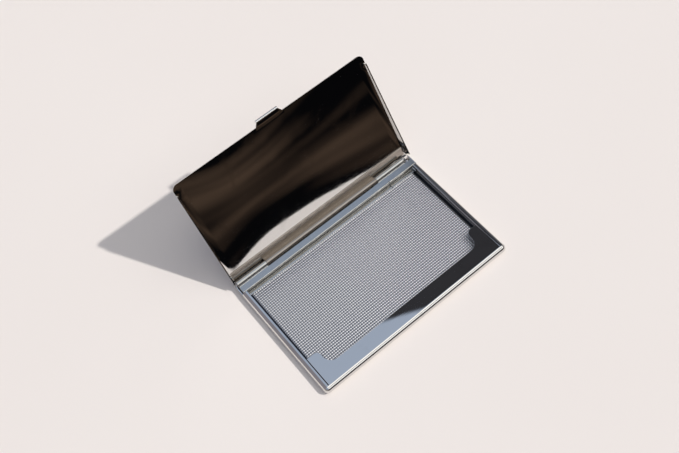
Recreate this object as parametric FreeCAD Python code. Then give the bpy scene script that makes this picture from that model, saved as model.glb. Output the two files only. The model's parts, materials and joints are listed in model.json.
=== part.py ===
import FreeCAD, Part
import math
import os

# Business card case in polished stainless sheet, modelled standing open.
# Millimetres. +X runs along the hinge, +Y towards the hinge side, +Z up.
# The origin is the middle of the underside of the base.

V = FreeCAD.Vector
X_AXIS = V(1, 0, 0)

# ---- sheet stock -------------------------------------------------------------
SHEET = 0.5             # base and lid stock
TRAY_SHEET = 0.4        # embossed tray stock
SPRING_SHEET = 0.25     # spring stock
LEAF_SHEET = 0.5        # hinge leaf stock

# ---- base --------------------------------------------------------------------
CASE_WIDTH = 95.0       # over the round sides
BASE_LENGTH = 61.6      # front round to rear edge
BASE_HEIGHT = 4.0       # underside to the top of the lip
RAIL_EDGE = 0.5         # how far the rolled sides reach past their crown
SLOT = 0.3              # gap between the lip and each rolled side
REAR_WALL_GAP = 0.5     # top of the low rear wall below the barrel
REAR_CUT_GAP = 0.8      # the rolled sides are cut down this far below the ledge

# ---- retaining lip, folded back over the card pocket ---------------------------
LIP_DEPTH = 8.4         # at the middle, from the front of the base
EAR_DEPTH = 15.9        # at the two ends
EAR_WIDTH = 8.3         # from the outside of the base to the inside of the ear
EAR_RADIUS = 2.4        # outer corner of each ear
NECK_RADIUS = 4.2       # inner corner between ear and lip

# ---- tray ----------------------------------------------------------------------
TRAY_SIDE_GAP = 0.1     # tray to rolled edge, each side
TRAY_FRONT_GAP = 0.4    # tray to the inside of the front round

# ---- hinge -----------------------------------------------------------------------
AXIS_SETBACK = 1.4      # rear edge of the base to the hinge line
AXIS_LIFT = 0.1         # hinge line above the top of the base
PIN_RADIUS = 0.6
KNUCKLE_WALL = 0.6
RUNNING_CLEARANCE = 0.05
END_KNUCKLE = 15.1      # length of each end knuckle
KNUCKLE_GAP = 0.2       # between one knuckle and the next
BARREL_LEFT_GAP = 0.6   # barrel to the inside of the lid's left flange
BARREL_RIGHT_GAP = 3.8  # the same at the right, where the pin is pushed in
LEDGE_FRONT = 4.7       # hinge line to the front of the flat ledge
LEDGE_BACK_GAP = 0.4    # back of the ledge to the barrel
LEDGE_DROP = 0.2        # top of the ledge below the hinge line
LEDGE_END_GAP = 0.5     # ledge end to the inside of the lid's flange
FOOT_WIDTH = 1.6        # welded foot in front of the ledge
FOOT_SIDE_GAP = 0.2
RELIEF_OFFSET = 3.6     # right end knuckle's inner end to the relief slit
RELIEF_WIDTH = 0.4

# ---- snap spring -------------------------------------------------------------------
SPRING_WIDTH = 40.0
SPRING_FOOT = 1.3
SPRING_TIP = 0.8
SPRING_GAP = 0.1        # spring to the middle knuckle
SPRING_FRONT_GAP = 0.1  # spring foot to the web of the leaf

# ---- lid ----------------------------------------------------------------------------
LID_LIP_GAP = 0.4       # free edge to the back of the lip, seen from above
LID_REAR = 0.8          # the sheet runs this far behind the hinge line
LID_DEPTH_REAR = 2.8    # inside of the sheet above the hinge line, at the hinge
LID_DEPTH_FRONT = 0.15  # the same at the free edge
LID_CORNER = 2.6        # plan radius of the two free corners
LID_BEND = 0.9          # outer bend radius between sheet and flange
FLANGE_DROP = 0.5       # flange edge below the hinge line
FLANGE_FRONT_GAP = 4.5  # free edge to the start of the flanges
FLANGE_REAR_GAP = 0.5   # hinge line to the rear end of the flanges
OPEN_ANGLE = 123.2      # opening at the stop

# ---- thumb tab --------------------------------------------------------------------------
TAB_WIDTH = 13.0        # at the lid's edge
TAB_TAPER = 1.2         # narrower by this at each side of its outer end
TAB_REACH = 1.7         # lid's edge to the middle of the rolled bead
BEAD_RADIUS = 0.75

# ---- lid leaf ----------------------------------------------------------------------------
LID_LEAF_REACH = 4.4    # hinge line to the front of the leaf's flat
LID_LEAF_SIDE_GAP = 0.8

# ---- places worked out from the sizes above -------------------------------------------------
ROUND_RADIUS = BASE_HEIGHT / 2
SIDE_CENTRE = CASE_WIDTH / 2 - ROUND_RADIUS
FRONT_Y = -BASE_LENGTH / 2
REAR_Y = BASE_LENGTH / 2
FRONT_CENTRE = FRONT_Y + ROUND_RADIUS
RAIL_INNER = SIDE_CENTRE - RAIL_EDGE
AXIS_Y = REAR_Y - AXIS_SETBACK
AXIS_Z = BASE_HEIGHT + AXIS_LIFT
KNUCKLE_RADIUS = PIN_RADIUS + KNUCKLE_WALL
FLANGE_INNER = CASE_WIDTH / 2 - SHEET
BARREL_LEFT = BARREL_LEFT_GAP - FLANGE_INNER
BARREL_RIGHT = FLANGE_INNER - BARREL_RIGHT_GAP
LEFT_JOINT = BARREL_LEFT + END_KNUCKLE
RIGHT_JOINT = BARREL_RIGHT - END_KNUCKLE
WEB_Y = AXIS_Y - LEDGE_FRONT
LEDGE_TOP = AXIS_Z - LEDGE_DROP
LEDGE_UNDER = LEDGE_TOP - LEAF_SHEET
REAR_WALL_TOP = AXIS_Z - KNUCKLE_RADIUS - REAR_WALL_GAP
TRAY_TOP = SHEET + TRAY_SHEET
LIP_Y = FRONT_Y + LIP_DEPTH
EAR_Y = FRONT_Y + EAR_DEPTH
LID_LENGTH = AXIS_Y - LIP_Y - LID_LIP_GAP
SLANT = math.sqrt(0.5)  # sine and cosine of 45 degrees
OVERRUN = 1.0           # cutters run this far past what they cut


def box(x0, x1, y0, y1, z0, z1):
    """A block between two corners."""
    return Part.makeBox(x1 - x0, y1 - y0, z1 - z0, V(x0, y0, z0))


def along_x(points, x0, x1):
    """A flat outline of (y, z) points, extruded along X."""
    corners = [V(x0, y, z) for y, z in points]
    wire = Part.makePolygon(corners + corners[:1])
    return Part.Face(wire).extrude(V(x1 - x0, 0, 0))


def upright(edges, z0, z1):
    """A closed run of plan edges, extruded upwards."""
    face = Part.Face(Part.Wire(edges))
    return face.extrude(V(0, 0, z1 - z0))


def arc(start, middle, end):
    """An arc through three points."""
    return Part.Arc(start, middle, end).toShape()


def line(start, end):
    """A straight edge."""
    return Part.makeLine(start, end)


def round_edged_slab(radius, rear_y):
    """A slab with round sides, round front and ball corners, flat at the rear."""
    length = rear_y - FRONT_CENTRE
    slab = box(-SIDE_CENTRE, SIDE_CENTRE, FRONT_CENTRE, rear_y,
               ROUND_RADIUS - radius, ROUND_RADIUS + radius)
    pieces = []
    for x in (-SIDE_CENTRE, SIDE_CENTRE):
        corner = V(x, FRONT_CENTRE, ROUND_RADIUS)
        pieces.append(Part.makeCylinder(radius, length, corner, V(0, 1, 0)))
        pieces.append(Part.makeSphere(radius, corner))
    front = V(-SIDE_CENTRE, FRONT_CENTRE, ROUND_RADIUS)
    pieces.append(Part.makeCylinder(radius, 2 * SIDE_CENTRE, front, X_AXIS))
    return slab.multiFuse(pieces).removeSplitter()


def pocket_mouth():
    """The cutter for the mouth of the pocket: ears at the ends, a lip between."""
    z = ROUND_RADIUS
    ear_x = CASE_WIDTH / 2 - EAR_WIDTH
    rear_y = REAR_Y + OVERRUN
    edges = []
    for side in (-1, 1):
        neck = V(side * (ear_x - NECK_RADIUS), LIP_Y + NECK_RADIUS, z)
        ear = V(side * (ear_x + EAR_RADIUS), EAR_Y - EAR_RADIUS, z)
        a = neck + V(0, -NECK_RADIUS, 0)
        b = neck + V(side * NECK_RADIUS * SLANT, -NECK_RADIUS * SLANT, 0)
        c = neck + V(side * NECK_RADIUS, 0, 0)
        d = ear + V(-side * EAR_RADIUS, 0, 0)
        e = ear + V(-side * EAR_RADIUS * SLANT, EAR_RADIUS * SLANT, 0)
        f = ear + V(0, EAR_RADIUS, 0)
        g = V(side * RAIL_INNER, EAR_Y, z)
        h = V(side * RAIL_INNER, rear_y, z)
        edges += [arc(a, b, c), line(c, d), arc(d, e, f), line(f, g), line(g, h)]
    neck_x = ear_x - NECK_RADIUS
    edges.append(line(V(-neck_x, LIP_Y, z), V(neck_x, LIP_Y, z)))
    edges.append(line(V(-RAIL_INNER, rear_y, z), V(RAIL_INNER, rear_y, z)))
    return upright(Part.__sortEdges__(edges), z, BASE_HEIGHT + OVERRUN)


def base_shell():
    """Pan with rolled sides and a rolled front that folds back into the lip."""
    outer = round_edged_slab(ROUND_RADIUS, REAR_Y)
    inner = round_edged_slab(ROUND_RADIUS - SHEET, REAR_Y + OVERRUN)
    shell = outer.cut(inner)
    wall = box(-SIDE_CENTRE, SIDE_CENTRE, REAR_Y - SHEET, REAR_Y, SHEET / 2, REAR_WALL_TOP)
    shell = shell.fuse(wall)
    cutters = [pocket_mouth()]
    for side in (-1, 1):
        x = sorted((side * RAIL_INNER, side * (RAIL_INNER - SLOT)))
        cutters.append(box(x[0], x[1], FRONT_CENTRE, EAR_Y + OVERRUN,
                           ROUND_RADIUS, BASE_HEIGHT + OVERRUN))
    cutters.append(box(-CASE_WIDTH, CASE_WIDTH, WEB_Y, REAR_Y + OVERRUN,
                       LEDGE_UNDER - REAR_CUT_GAP, BASE_HEIGHT + OVERRUN))
    return shell.cut(Part.makeCompound(cutters)).removeSplitter()


def card_tray():
    """The plate that the cards lie on, welded to the floor of the base."""
    half = RAIL_INNER - TRAY_SIDE_GAP
    front = FRONT_CENTRE + TRAY_FRONT_GAP
    return box(-half, half, front, WEB_Y + LEAF_SHEET, SHEET, TRAY_TOP)


def knuckle(x0, x1, bore):
    """One length of the hinge barrel, and the cutter for its bore."""
    start = V(x0, AXIS_Y, AXIS_Z)
    outside = Part.makeCylinder(KNUCKLE_RADIUS, x1 - x0, start, X_AXIS)
    return outside, Part.makeCylinder(bore, x1 - x0, start, X_AXIS)


def base_hinge_leaf():
    """Foot, web and ledge in one strip, with a knuckle rolled at each end."""
    end = FLANGE_INNER - LEDGE_END_GAP
    inner_end = RAIL_INNER - FOOT_SIDE_GAP
    ledge_back = AXIS_Y - KNUCKLE_RADIUS - LEDGE_BACK_GAP
    foot_front = WEB_Y - FOOT_WIDTH
    web_back = WEB_Y + LEAF_SHEET
    ledge = box(-end, end, WEB_Y, ledge_back, LEDGE_UNDER, LEDGE_TOP)
    web = box(-inner_end, inner_end, WEB_Y, web_back, TRAY_TOP, LEDGE_TOP)
    foot = box(-inner_end, inner_end, foot_front, WEB_Y, TRAY_TOP, TRAY_TOP + LEAF_SHEET)
    leaf = ledge.multiFuse([web, foot])
    ends = [(BARREL_LEFT, LEFT_JOINT - KNUCKLE_GAP / 2),
            (RIGHT_JOINT + KNUCKLE_GAP / 2, BARREL_RIGHT)]
    cutters = []
    for x0, x1 in ends:
        outside, bore = knuckle(x0, x1, PIN_RADIUS)
        strap = box(x0, x1, ledge_back, AXIS_Y, LEDGE_UNDER, LEDGE_TOP)
        leaf = leaf.multiFuse([outside, strap])
        cutters.append(bore)
    slit = RIGHT_JOINT + RELIEF_OFFSET
    cutters.append(box(slit, slit + RELIEF_WIDTH, foot_front - OVERRUN, web_back,
                       TRAY_TOP, AXIS_Z))
    return leaf.cut(Part.makeCompound(cutters)).removeSplitter()


def snap_spring():
    """Flat spring under the ledge: a foot on the floor and an arm up to the barrel."""
    front = WEB_Y + LEAF_SHEET + SPRING_FRONT_GAP
    bend = front + SPRING_FOOT
    arm_z = AXIS_Z - KNUCKLE_RADIUS - SPRING_GAP - SPRING_SHEET
    under = [(front, SHEET), (bend, SHEET), (AXIS_Y, arm_z), (AXIS_Y + SPRING_TIP, arm_z)]
    over = [(y, z + SPRING_SHEET) for y, z in reversed(under)]
    middle = (LEFT_JOINT + RIGHT_JOINT) / 2
    return along_x(under + over, middle - SPRING_WIDTH / 2, middle + SPRING_WIDTH / 2)


def hinge_pin():
    """One wire through all three knuckles."""
    start = V(BARREL_LEFT, AXIS_Y, AXIS_Z)
    return Part.makeCylinder(PIN_RADIUS, BARREL_RIGHT - BARREL_LEFT, start, X_AXIS)


def lid_inside_z(distance):
    """Height of the inside of the closed lid, at a distance in front of the hinge."""
    slope = (LID_DEPTH_REAR - LID_DEPTH_FRONT) / LID_LENGTH
    return AXIS_Z + LID_DEPTH_REAR - slope * distance


def lid_channel(y, inset, radius):
    """An upside-down U across the lid, with round upper corners."""
    half = CASE_WIDTH / 2 - inset
    top = lid_inside_z(AXIS_Y - y) + SHEET - inset
    edges = []
    for side in (-1, 1):
        centre = V(side * (half - radius), y, top - radius)
        start = centre + V(side * radius, 0, 0)
        middle = centre + V(side * radius * SLANT, 0, radius * SLANT)
        end = centre + V(0, 0, radius)
        edges += [line(V(side * half, y, 0), start), arc(start, middle, end)]
    edges.append(line(V(-half, y, 0), V(half, y, 0)))
    edges.append(line(V(radius - half, y, top), V(half - radius, y, top)))
    return Part.Face(Part.Wire(Part.__sortEdges__(edges)))


def lid_outline():
    """The lid's plan, with two round free corners."""
    half = CASE_WIDTH / 2
    front = AXIS_Y - LID_LENGTH
    rear = AXIS_Y + LID_REAR
    cut_in = LID_CORNER * (1 - SLANT)
    edges = []
    for side in (-1, 1):
        start = V(side * half, front + LID_CORNER, 0)
        middle = V(side * (half - cut_in), front + cut_in, 0)
        end = V(side * (half - LID_CORNER), front, 0)
        edges += [line(V(side * half, rear, 0), start), arc(start, middle, end)]
    edges.append(line(V(-half, rear, 0), V(half, rear, 0)))
    edges.append(line(V(LID_CORNER - half, front, 0), V(half - LID_CORNER, front, 0)))
    return upright(Part.__sortEdges__(edges), 0, lid_inside_z(-LID_REAR) + SHEET + OVERRUN)


def thumb_tab():
    """A tapered tongue on the lid's free edge, rolled outwards into a bead."""
    edge = AXIS_Y - LID_LENGTH
    under = lid_inside_z(LID_LENGTH)
    half = TAB_WIDTH / 2
    bead_y = edge - TAB_REACH
    corners = [V(-half, edge, under), V(half, edge, under),
               V(half - TAB_TAPER, bead_y, under), V(TAB_TAPER - half, bead_y, under)]
    tongue = Part.Face(Part.makePolygon(corners + corners[:1])).extrude(V(0, 0, SHEET))
    root = box(-half, half, edge, edge + SHEET, under, under + SHEET)
    bead = Part.makeCylinder(BEAD_RADIUS, TAB_WIDTH - 2 * TAB_TAPER,
                             V(TAB_TAPER - half, bead_y, under + BEAD_RADIUS), X_AXIS)
    return tongue.multiFuse([root, bead])


def opened(shape):
    """The closed lid's shape, turned back on the hinge to the stop."""
    turned = shape.copy()
    turned.rotate(V(0, AXIS_Y, AXIS_Z), X_AXIS, -OPEN_ANGLE)
    return turned


def lid_shell():
    """Sheet, two tapering side flanges and the thumb tab."""
    rear = AXIS_Y + LID_REAR + OVERRUN
    front = AXIS_Y - LID_LENGTH - OVERRUN
    run = V(0, front - rear, lid_inside_z(AXIS_Y - front) - lid_inside_z(AXIS_Y - rear))
    outer = lid_channel(rear, 0, LID_BEND).extrude(run)
    inner = lid_channel(rear, SHEET, LID_BEND - SHEET).extrude(run)
    sheet = outer.cut(inner).common(lid_outline())
    below = -2 * BASE_HEIGHT
    wide = CASE_WIDTH
    cutters = [box(-wide, wide, front, rear, below, AXIS_Z - FLANGE_DROP)]
    flange_front = AXIS_Y - LID_LENGTH + FLANGE_FRONT_GAP
    flange_rear = AXIS_Y - FLANGE_REAR_GAP
    for y0, y1 in ((front, flange_front), (flange_rear, rear)):
        under_sheet = [(y0, below), (y1, below), (y1, lid_inside_z(AXIS_Y - y1)),
                       (y0, lid_inside_z(AXIS_Y - y0))]
        cutters.append(along_x(under_sheet, -wide, wide))
    shell = sheet.cut(Part.makeCompound(cutters))
    return opened(shell.fuse(thumb_tab()).removeSplitter())


def lid_hinge_leaf():
    """A strip against the inside of the lid, an arm and the long middle knuckle."""
    x0 = LEFT_JOINT + KNUCKLE_GAP / 2
    x1 = RIGHT_JOINT - KNUCKLE_GAP / 2
    wide = FLANGE_INNER - LID_LEAF_SIDE_GAP
    arm_front = AXIS_Y - KNUCKLE_RADIUS
    arm_back = arm_front + LEAF_SHEET
    leaf_front = AXIS_Y - LID_LEAF_REACH
    back_z = lid_inside_z(AXIS_Y - arm_back)
    front_z = lid_inside_z(LID_LEAF_REACH)
    strip = along_x([(arm_back, back_z), (leaf_front, front_z),
                     (leaf_front, front_z - LEAF_SHEET), (arm_back, back_z - LEAF_SHEET)],
                    -wide, wide)
    arm = box(x0, x1, arm_front, arm_back, AXIS_Z, back_z - LEAF_SHEET / 2)
    outside, bore = knuckle(x0, x1, PIN_RADIUS + RUNNING_CLEARANCE)
    leaf = strip.multiFuse([arm, outside]).cut(bore)
    return opened(leaf.removeSplitter())


NODES = {
    "base_shell": base_shell,
    "card_tray": card_tray,
    "base_hinge_leaf": base_hinge_leaf,
    "snap_spring": snap_spring,
    "hinge_pin": hinge_pin,
    "lid_shell": lid_shell,
    "lid_hinge_leaf": lid_hinge_leaf,
}

os.makedirs("parts", exist_ok=True)
for name, make in NODES.items():
    shape = make()
    if not shape.isValid() or not shape.Solids:
        raise ValueError(name + " is not a closed solid")
    shape.exportStep("parts/" + name + ".step")
    print(name, "solids", len(shape.Solids), "volume", round(shape.Volume, 2))
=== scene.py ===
"""Looks of a slim business card case in polished sheet steel, standing open on a pale floor."""

import json
import logging
import math
from dataclasses import dataclass
from enum import Enum

import bmesh
import bpy
from mathutils import Matrix, Vector


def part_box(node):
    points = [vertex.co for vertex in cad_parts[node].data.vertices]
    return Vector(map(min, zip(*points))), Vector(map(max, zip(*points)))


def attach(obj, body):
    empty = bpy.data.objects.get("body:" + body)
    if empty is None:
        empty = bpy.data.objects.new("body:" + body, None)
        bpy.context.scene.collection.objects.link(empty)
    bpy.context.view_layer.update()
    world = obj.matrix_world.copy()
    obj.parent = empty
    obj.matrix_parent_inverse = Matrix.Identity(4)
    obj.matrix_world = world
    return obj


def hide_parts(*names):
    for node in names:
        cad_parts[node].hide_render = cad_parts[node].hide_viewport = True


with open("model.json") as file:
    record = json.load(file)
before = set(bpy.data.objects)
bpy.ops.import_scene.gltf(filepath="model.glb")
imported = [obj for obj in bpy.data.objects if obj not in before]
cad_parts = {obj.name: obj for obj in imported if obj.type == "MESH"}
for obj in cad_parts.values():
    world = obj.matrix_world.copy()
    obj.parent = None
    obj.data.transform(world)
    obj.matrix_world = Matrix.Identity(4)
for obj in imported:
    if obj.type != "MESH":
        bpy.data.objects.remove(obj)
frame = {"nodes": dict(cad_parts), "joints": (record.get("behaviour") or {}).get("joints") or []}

LOG = logging.getLogger("card_case")
MM = 0.001

SRGB_KNEE = 0.04045  # below this value the sRGB curve is a straight line
SRGB_SLOPE = 12.92
SRGB_OFFSET = 0.055
SRGB_POWER = 2.4


class Body(str, Enum):
    """The two bodies that the hinge joins."""

    BASE = "base"
    LID = "lid"


class Slot(str, Enum):
    """Material slots of the record."""

    SHELL = "polished_shell"
    TRAY = "embossed_tray"
    HINGE = "hinge_steel"
    SPRING = "spring_steel"


def linear(hex_colour: str) -> tuple[float, float, float, float]:
    """Turns an sRGB hex colour into linear RGBA.

    Args:
        hex_colour: A colour such as "#C8CCD0".

    Returns:
        Linear red, green and blue, and an alpha of 1.
    """
    values = [byte / 255 for byte in bytes.fromhex(hex_colour.lstrip("#"))]
    red, green, blue = (v / SRGB_SLOPE if v <= SRGB_KNEE
                        else ((v + SRGB_OFFSET) / (1 + SRGB_OFFSET)) ** SRGB_POWER
                        for v in values)
    return (red, green, blue, 1.0)


def add_node(tree: bpy.types.NodeTree, kind: str, settings: dict | None = None,
             **inputs: object) -> bpy.types.Node:
    """Adds one node, sets it up and links its inputs.

    Args:
        tree: The node tree that the node goes in.
        kind: The node's type name.
        settings: Properties of the node itself.
        **inputs: Socket values by name, with _ for a space, or by number as i0, i1 and so on.
            A node socket is linked, and anything else is set as the value.

    Returns:
        The new node.
    """
    node = tree.nodes.new(kind)
    for name, value in (settings or {}).items():
        setattr(node, name, value)
    for name, value in inputs.items():
        numbered = name[0] == "i" and name[1:].isdigit()
        socket = node.inputs[int(name[1:])] if numbered else node.inputs[name.replace("_", " ")]
        if isinstance(value, bpy.types.NodeSocket):
            tree.links.new(value, socket)
        else:
            socket.default_value = value
    return node


def fill_ramp(ramp: bpy.types.ColorRamp, stops: tuple[tuple[float, str], ...]) -> None:
    """Gives a colour ramp its stops.

    Args:
        ramp: A new ramp, which has two stops.
        stops: Two or more places from zero to one, each with its hex colour.
    """
    while len(ramp.elements) < len(stops):
        ramp.elements.new(0.5)
    for element, (place, colour) in zip(ramp.elements, stops):
        element.position = place
        element.color = linear(colour)


def new_material(name: str) -> tuple[bpy.types.Material, bpy.types.NodeTree]:
    """Makes an empty node material.

    Args:
        name: The material's name.

    Returns:
        The material and its cleared node tree.
    """
    material = bpy.data.materials.new(name)
    material.use_nodes = True
    material.node_tree.nodes.clear()
    return material, material.node_tree


def add_steel(tree: bpy.types.NodeTree, tint: bpy.types.Node, rough: bpy.types.Node,
              relief: bpy.types.Node, strength: float, depth: float) -> None:
    """Ends a material's node tree with bare steel that has a very fine relief.

    Args:
        tree: The material's node tree.
        tint: The node that mixes the steel's colour.
        rough: The node that sets its roughness.
        relief: The noise that raises and lowers the surface.
        strength: How strongly the relief shows.
        depth: How far it goes from low to high.
    """
    bump = add_node(tree, "ShaderNodeBump", Height=relief.outputs["Fac"], Strength=strength,
                    Distance=depth)
    shader = add_node(tree, "ShaderNodeBsdfPrincipled", Base_Color=tint.outputs["Result"],
                      Metallic=1.0, Roughness=rough.outputs["Result"],
                      Normal=bump.outputs["Normal"])
    add_node(tree, "ShaderNodeOutputMaterial", Surface=shader.outputs["BSDF"])


@dataclass(frozen=True)
class PolishedSteel:
    """Mirror-polished sheet: near-perfect reflections broken by hairlines and handling marks."""

    name: str = "mirror_polished_stainless"
    colour: str = "#DDDCDA"
    smudge_colour: str = "#CFCDCA"
    roughness: float = 0.018
    smudge_roughness: float = 0.075
    smudge_size: float = 17 * MM
    smudge_from: float = 0.52  # noise value where a handling mark starts to show
    smudge_to: float = 0.78  # noise value where it is at its strongest
    hairline_pitch: float = 0.35 * MM  # polishing grit leaves finer lines, drawn coarser to show
    hairline_depth: float = 0.0006 * MM
    hairline_stretch: float = 0.06  # a smaller share draws the lines out longer along the hinge

    def build(self) -> bpy.types.Material:
        """Builds the material.

        Returns:
            The finished material.
        """
        material, tree = new_material(self.name)
        place = add_node(tree, "ShaderNodeTexCoord").outputs["Object"]
        # Faint cloudy handling marks: the mirror goes slightly milky in soft patches.
        cloud = add_node(tree, "ShaderNodeTexNoise", Vector=place, Scale=1 / self.smudge_size,
                         Detail=4.0, Roughness=0.62, Distortion=0.6)
        marks = add_node(tree, "ShaderNodeMapRange", {"interpolation_type": "SMOOTHSTEP"},
                         Value=cloud.outputs["Fac"], From_Min=self.smudge_from,
                         From_Max=self.smudge_to, To_Min=0.0, To_Max=1.0)
        rough = add_node(tree, "ShaderNodeMapRange", Value=marks.outputs["Result"],
                         To_Min=self.roughness, To_Max=self.smudge_roughness)
        tint = add_node(tree, "ShaderNodeMix", {"data_type": "RGBA"}, i0=marks.outputs["Result"],
                        i6=linear(self.colour), i7=linear(self.smudge_colour))
        # Buffing hairlines along the hinge: they only spread the brightest reflections a little.
        stretch = add_node(tree, "ShaderNodeMapping", Vector=place,
                           Scale=(self.hairline_stretch, 1.0, 1.0))
        lines = add_node(tree, "ShaderNodeTexNoise", Vector=stretch.outputs["Vector"],
                         Scale=1 / self.hairline_pitch, Detail=2.0)
        add_steel(tree, tint, rough, lines, strength=0.5, depth=self.hairline_depth)
        return material


@dataclass(frozen=True)
class BrightRolledSteel:
    """Bright-rolled strip, as it leaves the mill: soft reflections with a grain along the strip."""

    name: str = "bright_rolled_strip"
    colour: str = "#D2D2D0"
    dull_colour: str = "#B4B3AF"
    roughness: float = 0.06
    grain_roughness: float = 0.14
    grain_pitch: float = 0.18 * MM
    grain_depth: float = 0.002 * MM
    grain_stretch: float = 0.05
    grain_low: float = 0.3  # noise value of the glossiest streaks
    grain_high: float = 0.7  # noise value of the dullest ones

    def build(self) -> bpy.types.Material:
        """Builds the material.

        Returns:
            The finished material.
        """
        material, tree = new_material(self.name)
        place = add_node(tree, "ShaderNodeTexCoord").outputs["Object"]
        # Rolling grain: long streaks along the hinge that change the gloss from line to line.
        stretch = add_node(tree, "ShaderNodeMapping", Vector=place,
                           Scale=(self.grain_stretch, 1.0, 1.0))
        grain = add_node(tree, "ShaderNodeTexNoise", Vector=stretch.outputs["Vector"],
                         Scale=1 / self.grain_pitch, Detail=3.0, Roughness=0.6)
        rough = add_node(tree, "ShaderNodeMapRange", Value=grain.outputs["Fac"],
                         From_Min=self.grain_low, From_Max=self.grain_high,
                         To_Min=self.roughness, To_Max=self.grain_roughness)
        tint = add_node(tree, "ShaderNodeMix", {"data_type": "RGBA"}, i0=grain.outputs["Fac"],
                        i6=linear(self.colour), i7=linear(self.dull_colour))
        add_steel(tree, tint, rough, grain, strength=0.6, depth=self.grain_depth)
        return material


@dataclass(frozen=True)
class EmbossedSteel:
    """Steel rolled between patterned rollers: bright crests over slightly matt hollows, which are
    painted darker as shade.
    """

    name: str = "embossed_stainless"
    crest_colour: str = "#ECECEF"
    # Painted shade: the hollows get a dark colour that stands in for the shade falling into them.
    hollow_shade_colour: str = "#33363E"
    roughness: float = 0.20
    hollow_roughness: float = 0.30
    low: float = 0.0  # height of the hollows
    high: float = 1.0  # height of the crests
    speck_pitch: float = 0.22 * MM
    speck_depth: float = 0.004 * MM

    def build(self) -> bpy.types.Material:
        """Builds the material.

        Returns:
            The finished material.
        """
        material, tree = new_material(self.name)
        place = add_node(tree, "ShaderNodeTexCoord").outputs["Object"]
        height = add_node(tree, "ShaderNodeSeparateXYZ", Vector=place)
        # Painted shade: the colour darkens from the crests down into the hollows, which keeps the
        # weave crisp; the hollows are also rougher.
        level = add_node(tree, "ShaderNodeMapRange", Value=height.outputs["Z"],
                         From_Min=self.low, From_Max=self.high)
        tint = add_node(tree, "ShaderNodeMix", {"data_type": "RGBA"}, i0=level.outputs["Result"],
                        i6=linear(self.hollow_shade_colour), i7=linear(self.crest_colour))
        rough = add_node(tree, "ShaderNodeMapRange", Value=level.outputs["Result"],
                         To_Min=self.hollow_roughness, To_Max=self.roughness)
        # Fine grain of the roller's own surface.
        speck = add_node(tree, "ShaderNodeTexNoise", Vector=place, Scale=1 / self.speck_pitch,
                         Detail=2.0)
        add_steel(tree, tint, rough, speck, strength=0.5, depth=self.speck_depth)
        return material


@dataclass(frozen=True)
class PaintedFloor:
    """Matt painted board: a warm white with the faint orange-peel of a roller."""

    name: str = "matt_painted_board"
    colour: str = "#EDE7E2"
    shade_colour: str = "#E9E2DD"
    roughness: float = 0.85
    gloss: float = 0.25
    drift_size: float = 166.7 * MM
    peel_pitch: float = 1.6 * MM
    peel_depth: float = 0.02 * MM

    def build(self) -> bpy.types.Material:
        """Builds the material.

        Returns:
            The finished material.
        """
        material, tree = new_material(self.name)
        place = add_node(tree, "ShaderNodeTexCoord").outputs["Object"]
        # Slow drift of tone across the board, too weak to read as a pattern.
        drift = add_node(tree, "ShaderNodeTexNoise", Vector=place, Scale=1 / self.drift_size,
                         Detail=2.0)
        tint = add_node(tree, "ShaderNodeMix", {"data_type": "RGBA"}, i0=drift.outputs["Fac"],
                        i6=linear(self.colour), i7=linear(self.shade_colour))
        peel = add_node(tree, "ShaderNodeTexNoise", Vector=place, Scale=1 / self.peel_pitch,
                        Detail=1.0)
        bump = add_node(tree, "ShaderNodeBump", Height=peel.outputs["Fac"], Strength=0.4,
                        Distance=self.peel_depth)
        shader = add_node(tree, "ShaderNodeBsdfPrincipled", Base_Color=tint.outputs["Result"],
                          Roughness=self.roughness, Specular_IOR_Level=self.gloss,
                          Normal=bump.outputs["Normal"])
        add_node(tree, "ShaderNodeOutputMaterial", Surface=shader.outputs["BSDF"])
        return material


def link_piece(name: str, mesh: bpy.types.Mesh, material: bpy.types.Material) -> bpy.types.Object:
    """Puts a mesh in the scene with one material.

    Args:
        name: The object's name.
        mesh: Its mesh, in the row frame.
        material: Its only material.

    Returns:
        The new object.
    """
    piece = bpy.data.objects.new(name, mesh)
    bpy.context.scene.collection.objects.link(piece)
    mesh.materials.clear()
    mesh.materials.append(material)
    return piece


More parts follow.
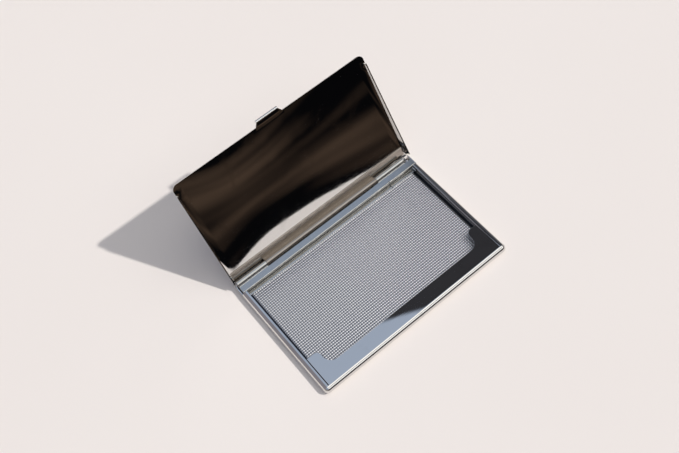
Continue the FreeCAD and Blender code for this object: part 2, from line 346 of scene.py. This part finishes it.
@dataclass
class SheetPiece:
    """A pressed sheet part: the frame's solid with clean faces and softly broken edges."""

    name: str
    node: str
    body: Body
    slot: Slot
    material: bpy.types.Material
    edge_round: float = 0.08 * MM
    edge_steps: int = 3
    clamp: bool = True  # stops the rounding where it would run into a neighbour
    weld: float = 0.0004 * MM
    shortest_edge: float = 0.05 * MM
    flat_angle: float = math.radians(0.6)
    sharp_angle: float = math.radians(32)
    arc_facet: float = 0.3 * MM  # a face narrower than this is one step of a curled knuckle
    arc_round: float = 0.3  # share of the full rounding that the edges of such a face get
    flat_weight: int = 80  # how far the large flat faces decide the shading at their edges

    def solid(self) -> bmesh.types.BMesh:
        """Copies the node's solid and undoes the splitting of its flat faces.

        Returns:
            The solid as a mesh of clean, undivided faces.
        """
        work = bmesh.new()
        work.from_mesh(frame["nodes"][self.node].data)
        bmesh.ops.remove_doubles(work, verts=work.verts, dist=self.weld)
        bmesh.ops.dissolve_limit(work, angle_limit=self.flat_angle, verts=work.verts,
                                 edges=work.edges, delimit={"NORMAL"})
        bmesh.ops.dissolve_degenerate(work, dist=self.shortest_edge, edges=work.edges)
        return work

    def shape(self, work: bmesh.types.BMesh) -> None:
        """Changes the solid before its edges are rounded: nothing, unless a piece needs it."""

    def weigh(self, work: bmesh.types.BMesh) -> None:
        """Marks each sharp edge with its share of the rounding.

        Args:
            work: The solid, whose edges get their weights.
        """
        layer = work.edges.layers.float.new("bevel_weight_edge")
        for edge in work.edges:
            if edge.is_manifold and edge.calc_face_angle() >= self.sharp_angle:
                edge[layer] = self.share(edge)

    def share(self, edge: bmesh.types.BMEdge) -> float:
        """Returns a sharp edge's share of the rounding: all of it, and less on a small facet."""
        return self.arc_round if edge.calc_length() < self.arc_facet else 1.0

    def make(self) -> bpy.types.Object:
        """Builds the piece, rounds its sharp edges and rides it on its body.

        Returns:
            The finished piece.
        """
        work = self.solid()
        self.shape(work)
        self.weigh(work)
        mesh = bpy.data.meshes.new(self.name)
        work.to_mesh(mesh)
        work.free()
        for face in mesh.polygons:
            face.use_smooth = True
        piece = link_piece(self.name, mesh, self.material)
        bevel = piece.modifiers.new("broken_edges", "BEVEL")
        bevel.width = self.edge_round
        bevel.segments = self.edge_steps
        bevel.limit_method = "WEIGHT"
        bevel.use_clamp_overlap = self.clamp
        even = piece.modifiers.new("flat_faces_stay_flat", "WEIGHTED_NORMAL")
        even.weight = self.flat_weight
        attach(piece, self.body.value)
        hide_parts(self.node)
        LOG.info("%s: %d faces before rounding", self.name, len(mesh.polygons))
        return piece


@dataclass
class HingeStrip(SheetPiece):
    """The base's hinge strip, whose ledge turns down at the front over a real bend radius."""

    edge_round: float = 0.45 * MM  # outside radius of the bend
    clamp: bool = False
    plain_share: float = 0.2  # share of that radius on the other edges
    arc_share: float = 0.07  # the same on the small facets
    square: float = 0.99  # a face counts as facing a way when its normal has this much of it

    def share(self, edge: bmesh.types.BMEdge) -> float:
        """Gives the ledge's front edge its bend radius, and every other edge a small rounding.

        Args:
            edge: A sharp edge of the strip.

        Returns:
            The edge's share of the rounding.
        """
        up = any(f.normal.z > self.square for f in edge.link_faces)
        front = any(f.normal.y < -self.square for f in edge.link_faces)
        if up and front:
            low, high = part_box(self.node)
            if edge.verts[0].co.z > (low.z + high.z) / 2:
                return 1.0
        return self.arc_share if edge.calc_length() < self.arc_facet else self.plain_share


@dataclass
class LidSheet(SheetPiece):
    """The lid: its wide sheet is very slightly dished, as thin polished sheet always is."""

    dish: float = 0.17 * MM
    right_dish: tuple[float, float] = (-0.45, 0.95)  # shares of the half width: starts, full
    left_dish: tuple[float, float] = (-0.45, -1.1)
    grid: float = 2.0 * MM  # space between the cuts that let the sheet bend

    def shape(self, work: bmesh.types.BMesh) -> None:
        """Slices the lid into a grid and dishes it between the hinge and the free edge.

        Args:
            work: The lid's solid, changed in place.
        """
        low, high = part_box(self.node)
        joint = frame["joints"][0]
        hinge = Vector(joint["pos_m"])
        along, normal = self.directions(work)
        ends = [(v.co - hinge).dot(along) for v in work.verts]
        reach = max(ends)
        half = (high.x - low.x) / 2
        x_axis = Vector((1, 0, 0))
        for axis, start, stop in ((x_axis, low.x, high.x), (along, min(ends), reach)):
            count = int((stop - start) / self.grid)
            for i in range(1, count):
                offset = start + (stop - start) * i / count
                point = axis * offset if axis.x else hinge + along * offset
                bmesh.ops.bisect_plane(work, geom=work.verts[:] + work.edges[:] + work.faces[:],
                                       dist=self.weld, plane_co=point, plane_no=axis)
        for vertex in work.verts:
            s = (vertex.co - hinge).dot(along) / reach
            x = vertex.co.x / half
            side = self.ease(x, *self.right_dish) + self.ease(x, *self.left_dish)
            vertex.co -= normal * self.dish * side * math.sin(math.pi * min(1.0, max(0.0, s)))

    def ease(self, value: float, start: float, full: float) -> float:
        """Rises smoothly from zero at the start to one where it is full.

        Args:
            value: What is eased.
            start: Where the rise begins.
            full: Where it ends, on either side of the start.

        Returns:
            A share from zero to one.
        """
        share = min(1.0, max(0.0, (value - start) / (full - start)))
        return share * share * (3 - 2 * share)

    def directions(self, work: bmesh.types.BMesh) -> tuple[Vector, Vector]:
        """Finds the sheet's own directions from its largest face.

        Args:
            work: The lid's solid.

        Returns:
            The way up the sheet from the hinge, and the normal that faces the cards.
        """
        largest = max(work.faces, key=lambda f: f.calc_area())
        normal = largest.normal.copy()
        if normal.y > 0:
            normal.negate()
        along = Vector((1, 0, 0)).cross(normal)
        if along.z < 0:
            along.negate()
        return along, normal


@dataclass
class EmbossedTray:
    """The plate under the cards, rolled with a fine weave inside a low plain border."""

    material: bpy.types.Material
    name: str = "tray_plate"
    node: str = "card_tray"
    pitch: float = 1.0 * MM  # from one raised crossing to the next, both ways
    depth: float = 0.30 * MM  # from the crests to the hollows
    steps_along: int = 4  # samples in one pitch along the hinge
    steps_across: int = 5
    rib_along: float = 0.45  # share of the relief that repeats along the hinge
    rib_across: float = 0.55  # share that repeats across it
    side_border: float = 0.9 * MM
    end_border: float = 0.5 * MM
    fade: float = 0.3 * MM  # the weave rises from the border over this width

    def height(self, x: float, y: float, low: Vector, high: Vector) -> float:
        """Works out how far the surface lies below the plate's top.

        Args:
            x: Place along the hinge.
            y: Place across it.
            low: Lowest corner of the plate.
            high: Highest corner of the plate.

        Returns:
            Minus the depth on the border and in the hollows, and zero on the crests.
        """
        side = min(x - low.x, high.x - x) - self.side_border
        end = min(y - low.y, high.y - y) - self.end_border
        inside = min(1.0, max(0.0, min(side, end) / self.fade))
        turn = 2 * math.pi / self.pitch
        wave = self.rib_along * math.cos(turn * x) + self.rib_across * math.cos(turn * y)
        return -self.depth * (1 - inside * (0.5 + 0.5 * wave))

    def samples(self, low: float, high: float, step: float) -> list[float]:
        """Spaces grid lines evenly about the middle, with one on each edge.

        Args:
            low: The lower edge.
            high: The upper edge.
            step: The space between lines.

        Returns:
            The places of the lines, from low to high.
        """
        half = int((high - low) / 2 / step)
        middle = (low + high) / 2
        inner = [middle + step * i for i in range(-half, half + 1)]
        return [low] + [v for v in inner if low < v < high] + [high]

    def make(self) -> bpy.types.Object:
        """Builds the plate as a fine grid over a plain underside.

        Returns:
            The finished plate.
        """
        low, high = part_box(self.node)
        xs = self.samples(low.x, high.x, self.pitch / self.steps_along)
        ys = self.samples(low.y, high.y, self.pitch / self.steps_across)
        work = bmesh.new()
        top = [[work.verts.new((x, y, high.z + self.height(x, y, low, high))) for x in xs]
               for y in ys]
        for upper, lower in zip(top[1:], top[:-1]):
            for i in range(len(xs) - 1):
                work.faces.new((lower[i], lower[i + 1], upper[i + 1], upper[i]))
        rim = top[0] + [row[-1] for row in top[1:]] + top[-1][-2::-1]
        rim += [row[0] for row in top[-2:0:-1]]
        under = [work.verts.new((v.co.x, v.co.y, low.z)) for v in rim]
        for i in range(len(rim)):
            j = (i + 1) % len(rim)
            work.faces.new((rim[j], rim[i], under[i], under[j]))
        work.faces.new(list(reversed(under)))
        mesh = bpy.data.meshes.new(self.name)
        work.to_mesh(mesh)
        work.free()
        for face in mesh.polygons:
            face.use_smooth = face.area < self.pitch ** 2
        piece = link_piece(self.name, mesh, self.material)
        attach(piece, Body.BASE.value)
        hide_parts(self.node)
        LOG.info("%s: %d faces", self.name, len(mesh.polygons))
        return piece


@dataclass
class Floor:
    """The round board that the case lies on."""

    rings: tuple[float, ...] = (0.15, 0.3, 0.8)  # radii, so that the faces stay even
    sides: int = 64

    def make(self) -> bpy.types.Object:
        """Builds the floor as rings of faces about its middle.

        Returns:
            The floor.
        """
        work = bmesh.new()
        centre = work.verts.new((0, 0, 0))
        turns = [2 * math.pi * i / self.sides for i in range(self.sides)]
        last = []
        for radius in self.rings:
            ring = [work.verts.new((radius * math.cos(t), radius * math.sin(t), 0)) for t in turns]
            for i in range(self.sides):
                j = (i + 1) % self.sides
                if last:
                    work.faces.new((last[i], ring[i], ring[j], last[j]))
                else:
                    work.faces.new((centre, ring[i], ring[j]))
            last = ring
        mesh = bpy.data.meshes.new("floor")
        work.to_mesh(mesh)
        work.free()
        piece = link_piece("floor", mesh, PaintedFloor().build())
        LOG.info("floor: %d faces", len(mesh.polygons))
        return piece


@dataclass
class KeyLight:
    """A small warm sun from the front right, which throws the one clear shadow."""

    source: tuple[float, float, float] = (0.73, -0.65, 1.0)
    distance: float = 2.0
    angle: float = math.radians(1.6)
    power: float = 2.39
    colour: str = "#FFFBF7"

    def make(self) -> bpy.types.Object:
        """Adds the light and turns it to the case.

        Returns:
            The light.
        """
        key = bpy.data.lights.new("key", "SUN")
        key.energy = self.power
        key.angle = self.angle
        key.color = linear(self.colour)[:3]
        lamp = bpy.data.objects.new("key", key)
        bpy.context.scene.collection.objects.link(lamp)
        way = Vector(self.source).normalized()
        lamp.location = way * self.distance
        lamp.rotation_euler = way.to_track_quat("Z", "Y").to_euler()
        LOG.info("key light ready")
        return lamp


class Measure(Enum):
    """Ways to tell where a direction points in the room."""

    BEARING = "radians from the front, more to the right"
    HEIGHT = "sine of the height above the horizon"
    ACROSS = "place on the ceiling from left to right, in heights of the ceiling"
    DEPTH = "place on the ceiling from front to back, in heights of the ceiling"
    SLANT = "place on the ceiling along a line that runs askew"


@dataclass(frozen=True)
class Span:
    """The stretch of one measure that a thing in the room takes up."""

    measure: Measure
    start: float
    stop: float
    soft: float  # half the width of its blurred edges


@dataclass(frozen=True)
class Panel:
    """One plain thing in the room: where it is, its colour, and how brightly it glows."""

    spans: tuple[Span, ...]
    colour: str
    glow: float = 1.0

    def light(self) -> tuple[float, float, float, float]:
        """Works out the light that comes from the panel.

        Returns:
            A linear colour, which may be brighter than white.
        """
        red, green, blue, alpha = linear(self.colour)
        return (red * self.glow, green * self.glow, blue * self.glow, alpha)


@dataclass
class Room:
    """A dim room with a doorway in front and a bright skylight, for the polished steel to mirror."""

    # From a pale skirting at the horizon through dark walls to a soft blue ceiling.
    walls: tuple[tuple[float, str], ...] = (
        (0.0, "#B4ABA3"), (0.06, "#A39A93"), (0.20, "#968F8B"), (0.45, "#8F8D90"),
        (0.70, "#8F9BB0"), (0.90, "#AEBBD0"), (1.0, "#B2BFD4"))
    doorway: tuple[Span, ...] = (Span(Measure.BEARING, -0.35, 0.62, 0.10),
                                 Span(Measure.HEIGHT, -0.2, 0.42, 0.08))
    streak_place: tuple[float, float, float] = (1.7, 0.4, 2.2)
    streak_scale: tuple[float, float, float] = (2.6, 2.6, 42.0)  # long and level
    streak_stops: tuple[tuple[float, str], ...] = ((0.44, "#08080A"), (0.78, "#5A493C"))
    cupboard: Panel = Panel((Span(Measure.BEARING, 1.75, 2.45, 0.05),
                             Span(Measure.HEIGHT, 0.1, 0.88, 0.02)), "#55575E")
    back_wall: Panel = Panel((Span(Measure.BEARING, -2.85, -1.75, 0.08),
                              Span(Measure.HEIGHT, 0.1, 0.93, 0.03)), "#8C8991")
    skylight: Panel = Panel((Span(Measure.ACROSS, -0.15, 1.1, 0.05),
                             Span(Measure.DEPTH, -1.3, 0.12, 0.05)), "#FFFDFA", glow=1.35)
    skylight_bar: Panel = Panel((Span(Measure.ACROSS, -0.05, 0.62, 0.03),
                                 Span(Measure.DEPTH, -0.61, -0.42, 0.02)), "#2B2B2D")
    beam: Panel = Panel((Span(Measure.SLANT, 0.817, 3.0, 0.008),
                         Span(Measure.DEPTH, 0.25, 0.395, 0.01)), "#36363A")
    ceiling_from: float = 0.2  # sine of the height where the ceiling starts
    skew: float = 1.6  # how much of the depth the beam's slanting end adds

    def make(self) -> bpy.types.World:
        """Builds the room as the scene's world, with later panels in front of earlier ones.

        Returns:
            The world.
        """
        world = bpy.data.worlds.new("room")
        bpy.context.scene.world = world
        world.use_nodes = True
        tree = world.node_tree
        tree.nodes.clear()
        way = add_node(tree, "ShaderNodeTexCoord").outputs["Generated"]
        measures = self.measures(tree, way)
        rise = add_node(tree, "ShaderNodeValToRGB", Fac=measures[Measure.HEIGHT])
        fill_ramp(rise.color_ramp, self.walls)
        room = self.lay(tree, measures, rise.outputs["Color"], self.doorway,
                        self.streaks(tree, way))
        for panel in (self.cupboard, self.back_wall, self.skylight, self.skylight_bar, self.beam):
            room = self.lay(tree, measures, room, panel.spans, panel.light())
        shader = add_node(tree, "ShaderNodeBackground", Color=room, Strength=1.0)
        add_node(tree, "ShaderNodeOutputWorld", Surface=shader.outputs["Background"])
        LOG.info("room ready: %d nodes", len(tree.nodes))
        return world

    def measures(self, tree: bpy.types.NodeTree,
                 way: bpy.types.NodeSocket) -> dict[Measure, bpy.types.NodeSocket]:
        """Works out every measure of a direction.

        Args:
            tree: The world's node tree.
            way: The direction.

        Returns:
            The socket of each measure.
        """
        part = add_node(tree, "ShaderNodeSeparateXYZ", Vector=way).outputs
        front = add_node(tree, "ShaderNodeMath", {"operation": "MULTIPLY"}, i0=part["Y"], i1=-1.0)
        bearing = add_node(tree, "ShaderNodeMath", {"operation": "ARCTAN2"}, i0=part["X"],
                           i1=front.outputs["Value"])
        across = add_node(tree, "ShaderNodeMath", {"operation": "DIVIDE"}, i0=part["X"],
                          i1=part["Z"])
        depth = add_node(tree, "ShaderNodeMath", {"operation": "DIVIDE"}, i0=part["Y"],
                         i1=part["Z"])
        slant = add_node(tree, "ShaderNodeMath", {"operation": "MULTIPLY_ADD"},
                         i0=depth.outputs["Value"], i1=self.skew, i2=across.outputs["Value"])
        return {Measure.BEARING: bearing.outputs["Value"],
                Measure.HEIGHT: part["Z"],
                Measure.ACROSS: across.outputs["Value"],
                Measure.DEPTH: depth.outputs["Value"],
                Measure.SLANT: slant.outputs["Value"]}

    def streaks(self, tree: bpy.types.NodeTree,
                way: bpy.types.NodeSocket) -> bpy.types.NodeSocket:
        """Makes the dim brown furniture behind the doorway, as long level streaks.

        Args:
            tree: The world's node tree.
            way: The direction.

        Returns:
            The colour's socket.
        """
        stretch = add_node(tree, "ShaderNodeMapping", Vector=way, Location=self.streak_place,
                           Scale=self.streak_scale)
        noise = add_node(tree, "ShaderNodeTexNoise", Vector=stretch.outputs["Vector"], Scale=1.0,
                         Detail=2.0, Roughness=0.5)
        tones = add_node(tree, "ShaderNodeValToRGB", Fac=noise.outputs["Fac"])
        fill_ramp(tones.color_ramp, self.streak_stops)
        return tones.outputs["Color"]

    def mask(self, tree: bpy.types.NodeTree, value: bpy.types.NodeSocket,
             span: Span) -> bpy.types.NodeSocket:
        """Builds a mask that is one inside a span.

        Args:
            tree: The world's node tree.
            value: The measure's socket.
            span: The stretch of that measure.

        Returns:
            The mask's socket.
        """
        smooth = {"interpolation_type": "SMOOTHSTEP"}
        rise = add_node(tree, "ShaderNodeMapRange", smooth, Value=value,
                        From_Min=span.start - span.soft, From_Max=span.start + span.soft)
        fall = add_node(tree, "ShaderNodeMapRange", smooth, Value=value,
                        From_Min=span.stop + span.soft, From_Max=span.stop - span.soft)
        both = add_node(tree, "ShaderNodeMath", {"operation": "MULTIPLY"},
                        i0=rise.outputs["Result"], i1=fall.outputs["Result"])
        return both.outputs["Value"]

    def lay(self, tree: bpy.types.NodeTree, measures: dict[Measure, bpy.types.NodeSocket],
            room: bpy.types.NodeSocket, spans: tuple[Span, ...],
            colour: bpy.types.NodeSocket | tuple[float, ...]) -> bpy.types.NodeSocket:
        """Lays a colour over the room where a direction is inside every span.

        Args:
            tree: The world's node tree.
            measures: The socket of each measure.
            room: The colour so far.
            spans: Where the new colour goes.
            colour: The new colour, as a socket or as linear values.

        Returns:
            The colour with the new one in it.
        """
        masks = [self.mask(tree, measures[span.measure], span) for span in spans]
        if any(span.measure is Measure.DEPTH for span in spans):
            above = add_node(tree, "ShaderNodeMath", {"operation": "GREATER_THAN"},
                             i0=measures[Measure.HEIGHT], i1=self.ceiling_from)
            masks.append(above.outputs["Value"])
        kept = masks[0]
        for mask in masks[1:]:
            kept = add_node(tree, "ShaderNodeMath", {"operation": "MULTIPLY"}, i0=kept,
                            i1=mask).outputs["Value"]
        mixed = add_node(tree, "ShaderNodeMix", {"data_type": "RGBA"}, i0=kept, i6=room,
                         i7=colour)
        return mixed.outputs["Result"]


@dataclass
class Camera:
    """The view from high above the front left of the case, slightly rolled."""

    bearing: float = math.radians(-29.6)
    height: float = math.radians(60.4)
    roll: float = math.radians(-10.9)
    target: tuple[float, float, float] = (3.3 * MM, 24.4 * MM, 0.0)
    distance: float = 388.7 * MM
    lens: float = 48.53  # focal length in Blender's own unit, as is the sensor's width
    sensor: float = 36.0
    nearest: float = 0.01

    def make(self) -> bpy.types.Object:
        """Adds the camera and aims it at the case.

        Returns:
            The camera.
        """
        level = math.cos(self.height)
        back = Vector((math.sin(self.bearing) * level, -math.cos(self.bearing) * level,
                       math.sin(self.height)))
        right = Vector((0, 0, 1)).cross(back).normalized()
        up = back.cross(right)
        turned_right = right * math.cos(self.roll) + up * math.sin(self.roll)
        turned_up = up * math.cos(self.roll) - right * math.sin(self.roll)
        data = bpy.data.cameras.new("camera")
        data.sensor_width = self.sensor
        data.lens = self.lens
        data.clip_start = self.nearest
        camera = bpy.data.objects.new("camera", data)
        bpy.context.scene.collection.objects.link(camera)
        turn = Matrix((turned_right, turned_up, back)).transposed()
        place = Vector(self.target) + back * self.distance
        camera.matrix_world = Matrix.Translation(place) @ turn.to_4x4()
        bpy.context.scene.camera = camera
        LOG.info("camera ready")
        return camera


def main() -> None:
    logging.basicConfig(level=logging.INFO, format="%(message)s")
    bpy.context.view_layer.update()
    mirror = PolishedSteel().build()
    strip = BrightRolledSteel().build()
    # Painted shade: the lid's hinge strip gets a darker, browner copy of the strip steel, which
    # stands in for the dark room that it mirrors.
    shaded_strip = BrightRolledSteel(name="shaded_rolled_strip", colour="#BDB6AE",
                                   dull_colour="#8E867E").build()
    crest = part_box(EmbossedTray.node)[1].z
    weave = EmbossedSteel(low=crest - EmbossedTray.depth, high=crest).build()
    SheetPiece("base_pan", "base_shell", Body.BASE, Slot.SHELL, mirror, clamp=False).make()
    EmbossedTray(weave).make()
    HingeStrip("base_hinge_strip", "base_hinge_leaf", Body.BASE, Slot.HINGE, strip).make()
    SheetPiece("flat_spring", "snap_spring", Body.BASE, Slot.SPRING, strip).make()
    SheetPiece("pin_wire", "hinge_pin", Body.BASE, Slot.HINGE, strip).make()
    LidSheet("lid_sheet", "lid_shell", Body.LID, Slot.SHELL, mirror).make()
    SheetPiece("lid_hinge_strip", "lid_hinge_leaf", Body.LID, Slot.HINGE, shaded_strip).make()
    Floor().make()
    KeyLight().make()
    Room().make()
    Camera().make()
    bpy.context.scene.view_settings.view_transform = "Standard"


if __name__ == "__main__":
    main()
